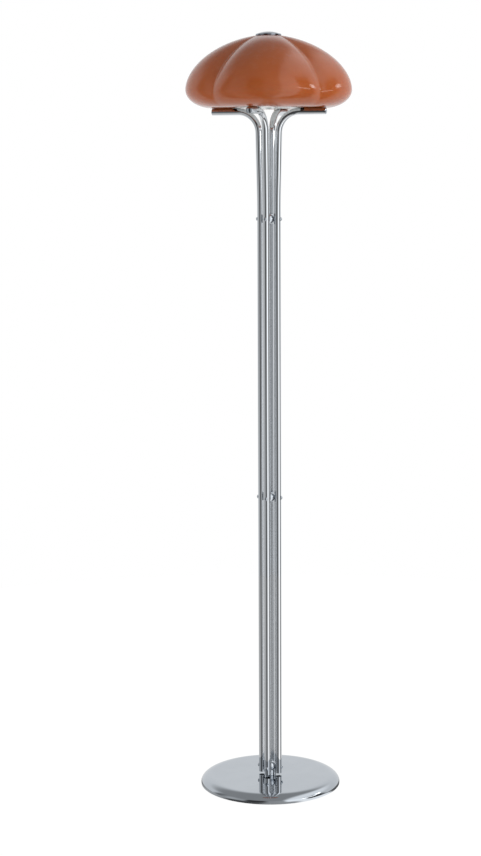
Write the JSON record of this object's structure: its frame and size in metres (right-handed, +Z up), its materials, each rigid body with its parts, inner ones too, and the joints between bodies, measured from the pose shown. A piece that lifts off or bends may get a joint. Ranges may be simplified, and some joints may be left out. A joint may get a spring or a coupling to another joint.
{
  "type": "mushroom floor lamp",
  "caption": "Tall floor lamp: round chromed base, column of slim chromed tubes joined by balls and bent out into short arms that carry a lobed mushroom shade over a bulb.",
  "frame": {"origin": "centre of the round base, on the floor", "axes": "+Z up the column; the four tubes stand on +X, +Y, -X and -Y; +Y is the rear, where the cord enters the base"},
  "size_m": [0.3653, 0.3653, 1.715],
  "materials": {
    "pad_rubber": "matt",
    "cast_iron": "rough cast",
    "mirror_chrome": "mirror polished",
    "tube_chrome": "mirror polished, drawn tube",
    "zinc_steel": "zinc plated",
    "white_enamel": "semi-gloss white stove enamel",
    "black_rubber": "matt",
    "black_plastic": "matt",
    "phenolic": "semi-matt",
    "ceramic": "glazed",
    "plain_brass": "plain",
    "solder": "dull",
    "black_glass": "glossy",
    "nickel_brass": "nickel plated",
    "opal_glass": "opal, satin",
    "clear_glass": "clear",
    "wire_sleeve": "soft matt",
    "caramel_acrylic": "high gloss"
  },
  "bodies": {
    "stand": {"floor_pad": "pad_rubber", "base_weight": "cast_iron", "base_cover": "mirror_chrome", "base_bolt": "zinc_steel", "base_washer": "zinc_steel", "base_collar": "mirror_chrome", "cord_gland": "black_rubber", "lead_bush": "black_plastic", "ball_lower": "mirror_chrome", "ball_middle": "mirror_chrome", "ball_upper": "mirror_chrome", "bolts_lower": "mirror_chrome", "bolts_middle": "mirror_chrome", "bolts_upper": "mirror_chrome", "tube_right": "tube_chrome", "tube_back": "tube_chrome", "tube_left": "tube_chrome", "tube_front": "tube_chrome", "foot_plugs": "black_plastic", "arm_plugs": "mirror_chrome", "arm_pins": "zinc_steel", "holder_plate": "white_enamel", "plate_screws": "zinc_steel", "holder_bolt": "zinc_steel", "lampholder_base": "phenolic", "lampholder_skirt": "phenolic", "socket_core": "ceramic", "socket_sleeve": "plain_brass", "socket_contact": "plain_brass", "inner_lead": "wire_sleeve"},
    "shade": {"shade": "caramel_acrylic", "crown_cap": "mirror_chrome", "crown_washer": "zinc_steel", "crown_nut": "zinc_steel"},
    "bulb": {"bulb_glass": "opal_glass", "bulb_cap": "nickel_brass", "bulb_insulator": "black_glass", "bulb_contact": "solder", "bulb_mount": "clear_glass"}
  },
  "joints": [
    {"name": "shade_lift", "type": "slide", "parent": "stand", "child": "shade", "axis": [0, 0, 1], "range_m": [0, 0.2]},
    {"name": "bulb_turn", "type": "hinge", "parent": "stand", "child": "bulb", "pos_m": [0, 0, 1.56895], "axis": [0, 0, 1], "range_deg": [0, 1800]}
  ]
}
